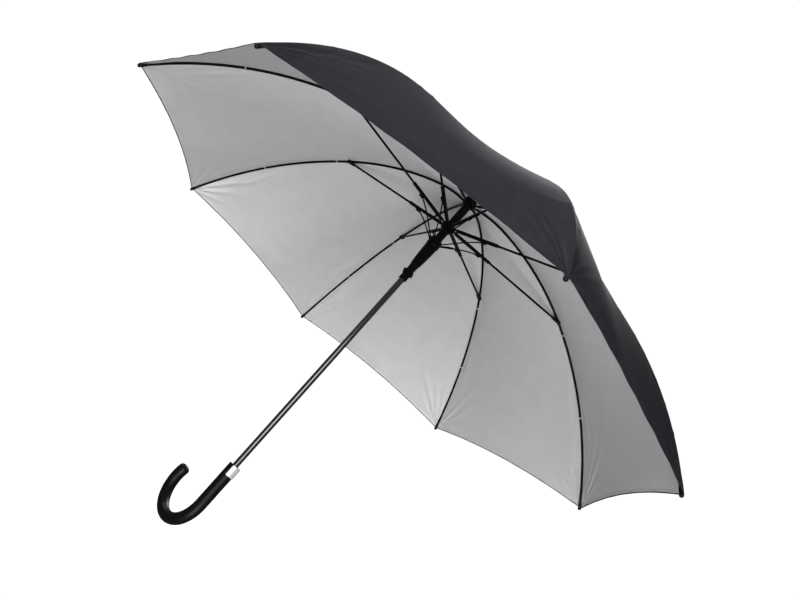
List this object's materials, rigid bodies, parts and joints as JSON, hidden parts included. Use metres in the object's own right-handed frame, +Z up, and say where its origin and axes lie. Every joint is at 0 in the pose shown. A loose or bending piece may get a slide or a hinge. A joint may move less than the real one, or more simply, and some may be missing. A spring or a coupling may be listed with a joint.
{
  "type": "automatic stick umbrella",
  "caption": "Open automatic stick umbrella: curved ribs, stretchers and bowed links carry a dark two-sided canopy on a tube shaft with a crook handle and a push button.",
  "frame": {"origin": "on the shaft's axis in the middle of the crook handle's straight grip", "axes": "+Z up the shaft to the ferrule, -Y the way the crook's open end lies, +Y the side of the push button"},
  "size_m": [0.9542, 0.9542, 0.7913],
  "materials": {
    "canopy_cloth": "woven cloth, charcoal outside and silver grey satin inside",
    "shaft_black": "gloss black enamel",
    "frame_steel": "satin black coating",
    "rib_glass_fibre": "black glass-fibre reinforced rod",
    "tip_plastic": "black moulded",
    "hub_plastic": "black moulded",
    "bright_wire": "drawn wire",
    "handle_rubber": "satin rubberised coating",
    "button_satin": "satin silver plating"
  },
  "bodies": {
    "shaft": {"shaft_tube": "shaft_black", "handle_crook": "handle_rubber", "crown_notch": "hub_plastic", "crown_wire": "bright_wire", "crown_rosette": "canopy_cloth", "ferrule": "hub_plastic"},
    "rib_1": {"rib_1": "rib_glass_fibre", "rib_fittings_1": "tip_plastic"},
    "stretcher_1": {"stretcher_1": "frame_steel"},
    "link_1": {"link_1": "frame_steel"},
    "panel_1a": {"canopy_half_1a": "canopy_cloth"},
    "panel_1b": {"canopy_half_1b": "canopy_cloth"},
    "rib_2": {"rib_2": "rib_glass_fibre", "rib_fittings_2": "tip_plastic"},
    "stretcher_2": {"stretcher_2": "frame_steel"},
    "link_2": {"link_2": "frame_steel"},
    "panel_2a": {"canopy_half_2a": "canopy_cloth"},
    "panel_2b": {"canopy_half_2b": "canopy_cloth"},
    "rib_3": {"rib_3": "rib_glass_fibre", "rib_fittings_3": "tip_plastic"},
    "stretcher_3": {"stretcher_3": "frame_steel"},
    "link_3": {"link_3": "frame_steel"},
    "panel_3a": {"canopy_half_3a": "canopy_cloth"},
    "panel_3b": {"canopy_half_3b": "canopy_cloth"},
    "rib_4": {"rib_4": "rib_glass_fibre", "rib_fittings_4": "tip_plastic"},
    "stretcher_4": {"stretcher_4": "frame_steel"},
    "link_4": {"link_4": "frame_steel"},
    "panel_4a": {"canopy_half_4a": "canopy_cloth"},
    "panel_4b": {"canopy_half_4b": "canopy_cloth"},
    "rib_5": {"rib_5": "rib_glass_fibre", "rib_fittings_5": "tip_plastic"},
    "stretcher_5": {"stretcher_5": "frame_steel"},
    "link_5": {"link_5": "frame_steel"},
    "panel_5a": {"canopy_half_5a": "canopy_cloth"},
    "panel_5b": {"canopy_half_5b": "canopy_cloth"},
    "rib_6": {"rib_6": "rib_glass_fibre", "rib_fittings_6": "tip_plastic"},
    "stretcher_6": {"stretcher_6": "frame_steel"},
    "link_6": {"link_6": "frame_steel"},
    "panel_6a": {"canopy_half_6a": "canopy_cloth"},
    "panel_6b": {"canopy_half_6b": "canopy_cloth"},
    "rib_7": {"rib_7": "rib_glass_fibre", "rib_fittings_7": "tip_plastic"},
    "stretcher_7": {"stretcher_7": "frame_steel"},
    "link_7": {"link_7": "frame_steel"},
    "panel_7a": {"canopy_half_7a": "canopy_cloth"},
    "panel_7b": {"canopy_half_7b": "canopy_cloth"},
    "rib_8": {"rib_8": "rib_glass_fibre", "rib_fittings_8": "tip_plastic"},
    "stretcher_8": {"stretcher_8": "frame_steel"},
    "link_8": {"link_8": "frame_steel"},
    "panel_8a": {"canopy_half_8a": "canopy_cloth"},
    "panel_8b": {"canopy_half_8b": "canopy_cloth"},
    "upper_runner": {"upper_runner": "hub_plastic", "upper_wire": "bright_wire"},
    "lower_runner": {"lower_runner": "hub_plastic", "opening_spring": "bright_wire"},
    "release_button": {"release_button": "button_satin"}
  },
  "joints": [
    {"name": "canopy_fold", "type": "hinge", "parent": "shaft", "child": "rib_1", "pos_m": [0.00878, 0.00364, 0.622], "axis": [-0.3827, 0.9239, 0], "range_deg": [0, 63.5], "stiffness_Nm_per_rad": 0.9, "springref_deg": -114.59},
    {"name": "rib_2_hinge", "type": "hinge", "parent": "shaft", "child": "rib_2", "pos_m": [0.00364, 0.00878, 0.622], "axis": [-0.9239, 0.3827, 0], "range_deg": [0, 63.5]},
    {"name": "rib_3_hinge", "type": "hinge", "parent": "shaft", "child": "rib_3", "pos_m": [-0.00364, 0.00878, 0.622], "axis": [-0.9239, -0.3827, 0], "range_deg": [0, 63.5]},
    {"name": "rib_4_hinge", "type": "hinge", "parent": "shaft", "child": "rib_4", "pos_m": [-0.00878, 0.00364, 0.622], "axis": [-0.3827, -0.9239, 0], "range_deg": [0, 63.5]},
    {"name": "rib_5_hinge", "type": "hinge", "parent": "shaft", "child": "rib_5", "pos_m": [-0.00878, -0.00364, 0.622], "axis": [0.3827, -0.9239, 0], "range_deg": [0, 63.5]},
    {"name": "rib_6_hinge", "type": "hinge", "parent": "shaft", "child": "rib_6", "pos_m": [-0.00364, -0.00878, 0.622], "axis": [0.9239, -0.3827, 0], "range_deg": [0, 63.5]},
    {"name": "rib_7_hinge", "type": "hinge", "parent": "shaft", "child": "rib_7", "pos_m": [0.00364, -0.00878, 0.622], "axis": [0.9239, 0.3827, 0], "range_deg": [0, 63.5]},
    {"name": "rib_8_hinge", "type": "hinge", "parent": "shaft", "child": "rib_8", "pos_m": [0.00878, -0.00364, 0.622], "axis": [0.3827, 0.9239, 0], "range_deg": [0, 63.5]},
    {"name": "stretcher_1_pin", "type": "hinge", "parent": "rib_1", "child": "stretcher_1", "pos_m": [0.23744, 0.09835, 0.5945], "axis": [-0.3827, 0.9239, 0], "range_deg": [-127, 0]},
    {"name": "stretcher_2_pin", "type": "hinge", "parent": "rib_2", "child": "stretcher_2", "pos_m": [0.09835, 0.23744, 0.5945], "axis": [-0.9239, 0.3827, 0], "range_deg": [-127, 0]},
    {"name": "stretcher_3_pin", "type": "hinge", "parent": "rib_3", "child": "stretcher_3", "pos_m": [-0.09835, 0.23744, 0.5945], "axis": [-0.9239, -0.3827, 0], "range_deg": [-127, 0]},
    {"name": "stretcher_4_pin", "type": "hinge", "parent": "rib_4", "child": "stretcher_4", "pos_m": [-0.23744, 0.09835, 0.5945], "axis": [-0.3827, -0.9239, 0], "range_deg": [-127, 0]},
    {"name": "stretcher_5_pin", "type": "hinge", "parent": "rib_5", "child": "stretcher_5", "pos_m": [-0.23744, -0.09835, 0.5945], "axis": [0.3827, -0.9239, 0], "range_deg": [-127, 0]},
    {"name": "stretcher_6_pin", "type": "hinge", "parent": "rib_6", "child": "stretcher_6", "pos_m": [-0.09835, -0.23744, 0.5945], "axis": [0.9239, -0.3827, 0], "range_deg": [-127, 0]},
    {"name": "stretcher_7_pin", "type": "hinge", "parent": "rib_7", "child": "stretcher_7", "pos_m": [0.09835, -0.23744, 0.5945], "axis": [0.9239, 0.3827, 0], "range_deg": [-127, 0]},
    {"name": "stretcher_8_pin", "type": "hinge", "parent": "rib_8", "child": "stretcher_8", "pos_m": [0.23744, -0.09835, 0.5945], "axis": [0.3827, 0.9239, 0], "range_deg": [-127, 0]},
    {"name": "upper_runner_pin", "type": "hinge", "parent": "stretcher_1", "child": "upper_runner", "pos_m": [0.00878, 0.00364, 0.567], "axis": [-0.3827, 0.9239, 0], "range_deg": [0, 63.5]},
    {"name": "lower_runner_slide", "type": "slide", "parent": "upper_runner", "child": "lower_runner", "axis": [0, 0, 1], "range_m": [0, 0.02331], "deforming": ["opening_spring"]},
    {"name": "link_1_pin", "type": "hinge", "parent": "stretcher_1", "child": "link_1", "pos_m": [0.06381, 0.02643, 0.5706], "axis": [-0.3827, 0.9239, 0], "range_deg": [0, 26.2]},
    {"name": "link_2_pin", "type": "hinge", "parent": "stretcher_2", "child": "link_2", "pos_m": [0.02643, 0.06381, 0.5706], "axis": [-0.9239, 0.3827, 0], "range_deg": [0, 26.2]},
    {"name": "link_3_pin", "type": "hinge", "parent": "stretcher_3", "child": "link_3", "pos_m": [-0.02643, 0.06381, 0.5706], "axis": [-0.9239, -0.3827, 0], "range_deg": [0, 26.2]},
    {"name": "link_4_pin", "type": "hinge", "parent": "stretcher_4", "child": "link_4", "pos_m": [-0.06381, 0.02643, 0.5706], "axis": [-0.3827, -0.9239, 0], "range_deg": [0, 26.2]},
    {"name": "link_5_pin", "type": "hinge", "parent": "stretcher_5", "child": "link_5", "pos_m": [-0.06381, -0.02643, 0.5706], "axis": [0.3827, -0.9239, 0], "range_deg": [0, 26.2]},
    {"name": "link_6_pin", "type": "hinge", "parent": "stretcher_6", "child": "link_6", "pos_m": [-0.02643, -0.06381, 0.5706], "axis": [0.9239, -0.3827, 0], "range_deg": [0, 26.2]},
    {"name": "link_7_pin", "type": "hinge", "parent": "stretcher_7", "child": "link_7", "pos_m": [0.02643, -0.06381, 0.5706], "axis": [0.9239, 0.3827, 0], "range_deg": [0, 26.2]},
    {"name": "link_8_pin", "type": "hinge", "parent": "stretcher_8", "child": "link_8", "pos_m": [0.06381, -0.02643, 0.5706], "axis": [0.3827, 0.9239, 0], "range_deg": [0, 26.2]},
    {"name": "panel_1a_fold", "type": "hinge", "parent": "rib_1", "child": "panel_1a", "pos_m": [-0.00039, -0.00016, 0.60103], "axis": [0.8351, 0.3459, -0.4277], "range_deg": [-91.69, 0], "deforming": ["canopy_half_1a"]},
    {"name": "panel_1b_fold", "type": "hinge", "parent": "rib_1", "child": "panel_1b", "pos_m": [-0.00039, -0.00016, 0.60103], "axis": [0.8351, 0.3459, -0.4277], "range_deg": [0, 91.69], "deforming": ["canopy_half_1b"]},
    {"name": "panel_2a_fold", "type": "hinge", "parent": "rib_2", "child": "panel_2a", "pos_m": [-0.00016, -0.00039, 0.60103], "axis": [0.3459, 0.8351, -0.4277], "range_deg": [-91.69, 0], "deforming": ["canopy_half_2a"]},
    {"name": "panel_2b_fold", "type": "hinge", "parent": "rib_2", "child": "panel_2b", "pos_m": [-0.00016, -0.00039, 0.60103], "axis": [0.3459, 0.8351, -0.4277], "range_deg": [0, 91.69], "deforming": ["canopy_half_2b"]},
    {"name": "panel_3a_fold", "type": "hinge", "parent": "rib_3", "child": "panel_3a", "pos_m": [0.00016, -0.00039, 0.60103], "axis": [-0.3459, 0.8351, -0.4277], "range_deg": [-91.69, 0], "deforming": ["canopy_half_3a"]},
    {"name": "panel_3b_fold", "type": "hinge", "parent": "rib_3", "child": "panel_3b", "pos_m": [0.00016, -0.00039, 0.60103], "axis": [-0.3459, 0.8351, -0.4277], "range_deg": [0, 91.69], "deforming": ["canopy_half_3b"]},
    {"name": "panel_4a_fold", "type": "hinge", "parent": "rib_4", "child": "panel_4a", "pos_m": [0.00039, -0.00016, 0.60103], "axis": [-0.8351, 0.3459, -0.4277], "range_deg": [-91.69, 0], "deforming": ["canopy_half_4a"]},
    {"name": "panel_4b_fold", "type": "hinge", "parent": "rib_4", "child": "panel_4b", "pos_m": [0.00039, -0.00016, 0.60103], "axis": [-0.8351, 0.3459, -0.4277], "range_deg": [0, 91.69], "deforming": ["canopy_half_4b"]},
    {"name": "panel_5a_fold", "type": "hinge", "parent": "rib_5", "child": "panel_5a", "pos_m": [0.00039, 0.00016, 0.60103], "axis": [-0.8351, -0.3459, -0.4277], "range_deg": [-91.69, 0], "deforming": ["canopy_half_5a"]},
    {"name": "panel_5b_fold", "type": "hinge", "parent": "rib_5", "child": "panel_5b", "pos_m": [0.00039, 0.00016, 0.60103], "axis": [-0.8351, -0.3459, -0.4277], "range_deg": [0, 91.69], "deforming": ["canopy_half_5b"]},
    {"name": "panel_6a_fold", "type": "hinge", "parent": "rib_6", "child": "panel_6a", "pos_m": [0.00016, 0.00039, 0.60103], "axis": [-0.3459, -0.8351, -0.4277], "range_deg": [-91.69, 0], "deforming": ["canopy_half_6a"]},
    {"name": "panel_6b_fold", "type": "hinge", "parent": "rib_6", "child": "panel_6b", "pos_m": [0.00016, 0.00039, 0.60103], "axis": [-0.3459, -0.8351, -0.4277], "range_deg": [0, 91.69], "deforming": ["canopy_half_6b"]},
    {"name": "panel_7a_fold", "type": "hinge", "parent": "rib_7", "child": "panel_7a", "pos_m": [-0.00016, 0.00039, 0.60103], "axis": [0.3459, -0.8351, -0.4277], "range_deg": [-91.69, 0], "deforming": ["canopy_half_7a"]},
    {"name": "panel_7b_fold", "type": "hinge", "parent": "rib_7", "child": "panel_7b", "pos_m": [-0.00016, 0.00039, 0.60103], "axis": [0.3459, -0.8351, -0.4277], "range_deg": [0, 91.69], "deforming": ["canopy_half_7b"]},
    {"name": "panel_8a_fold", "type": "hinge", "parent": "rib_8", "child": "panel_8a", "pos_m": [-0.00039, 0.00016, 0.60103], "axis": [0.8351, -0.3459, -0.4277], "range_deg": [-91.69, 0], "deforming": ["canopy_half_8a"]},
    {"name": "panel_8b_fold", "type": "hinge", "parent": "rib_8", "child": "panel_8b", "pos_m": [-0.00039, 0.00016, 0.60103], "axis": [0.8351, -0.3459, -0.4277], "range_deg": [0, 91.69], "deforming": ["canopy_half_8b"]},
    {"name": "button_press", "type": "slide", "parent": "shaft", "child": "release_button", "axis": [0, -1, 0], "range_m": [0, 0.002], "stiffness_N_per_m": 800, "springref_m": -0.001}
  ],
  "couplings": [
    {"joint": "rib_2_hinge", "follows": "canopy_fold", "ratio": 1},
    {"joint": "rib_3_hinge", "follows": "canopy_fold", "ratio": 1},
    {"joint": "rib_4_hinge", "follows": "canopy_fold", "ratio": 1},
    {"joint": "rib_5_hinge", "follows": "canopy_fold", "ratio": 1},
    {"joint": "rib_6_hinge", "follows": "canopy_fold", "ratio": 1},
    {"joint": "rib_7_hinge", "follows": "canopy_fold", "ratio": 1},
    {"joint": "rib_8_hinge", "follows": "canopy_fold", "ratio": 1},
    {"joint": "stretcher_1_pin", "follows": "canopy_fold", "ratio": -2},
    {"joint": "stretcher_2_pin", "follows": "canopy_fold", "ratio": -2},
    {"joint": "stretcher_3_pin", "follows": "canopy_fold", "ratio": -2},
    {"joint": "stretcher_4_pin", "follows": "canopy_fold", "ratio": -2},
    {"joint": "stretcher_5_pin", "follows": "canopy_fold", "ratio": -2},
    {"joint": "stretcher_6_pin", "follows": "canopy_fold", "ratio": -2},
    {"joint": "stretcher_7_pin", "follows": "canopy_fold", "ratio": -2},
    {"joint": "stretcher_8_pin", "follows": "canopy_fold", "ratio": -2},
    {"joint": "upper_runner_pin", "follows": "canopy_fold", "ratio": 1},
    {"joint": "lower_runner_slide", "follows": "canopy_fold", "m_per_rad": 0.02103},
    {"joint": "link_1_pin", "follows": "canopy_fold", "ratio": 0.4122},
    {"joint": "link_2_pin", "follows": "canopy_fold", "ratio": 0.4122},
    {"joint": "link_3_pin", "follows": "canopy_fold", "ratio": 0.4122},
    {"joint": "link_4_pin", "follows": "canopy_fold", "ratio": 0.4122},
    {"joint": "link_5_pin", "follows": "canopy_fold", "ratio": 0.4122},
    {"joint": "link_6_pin", "follows": "canopy_fold", "ratio": 0.4122},
    {"joint": "link_7_pin", "follows": "canopy_fold", "ratio": 0.4122},
    {"joint": "link_8_pin", "follows": "canopy_fold", "ratio": 0.4122},
    {"joint": "panel_1a_fold", "follows": "canopy_fold", "ratio": -1.4437},
    {"joint": "panel_1b_fold", "follows": "canopy_fold", "ratio": 1.4437},
    {"joint": "panel_2a_fold", "follows": "canopy_fold", "ratio": -1.4437},
    {"joint": "panel_2b_fold", "follows": "canopy_fold", "ratio": 1.4437},
    {"joint": "panel_3a_fold", "follows": "canopy_fold", "ratio": -1.4437},
    {"joint": "panel_3b_fold", "follows": "canopy_fold", "ratio": 1.4437},
    {"joint": "panel_4a_fold", "follows": "canopy_fold", "ratio": -1.4437},
    {"joint": "panel_4b_fold", "follows": "canopy_fold", "ratio": 1.4437},
    {"joint": "panel_5a_fold", "follows": "canopy_fold", "ratio": -1.4437},
    {"joint": "panel_5b_fold", "follows": "canopy_fold", "ratio": 1.4437},
    {"joint": "panel_6a_fold", "follows": "canopy_fold", "ratio": -1.4437},
    {"joint": "panel_6b_fold", "follows": "canopy_fold", "ratio": 1.4437},
    {"joint": "panel_7a_fold", "follows": "canopy_fold", "ratio": -1.4437},
    {"joint": "panel_7b_fold", "follows": "canopy_fold", "ratio": 1.4437},
    {"joint": "panel_8a_fold", "follows": "canopy_fold", "ratio": -1.4437},
    {"joint": "panel_8b_fold", "follows": "canopy_fold", "ratio": 1.4437}
  ]
}
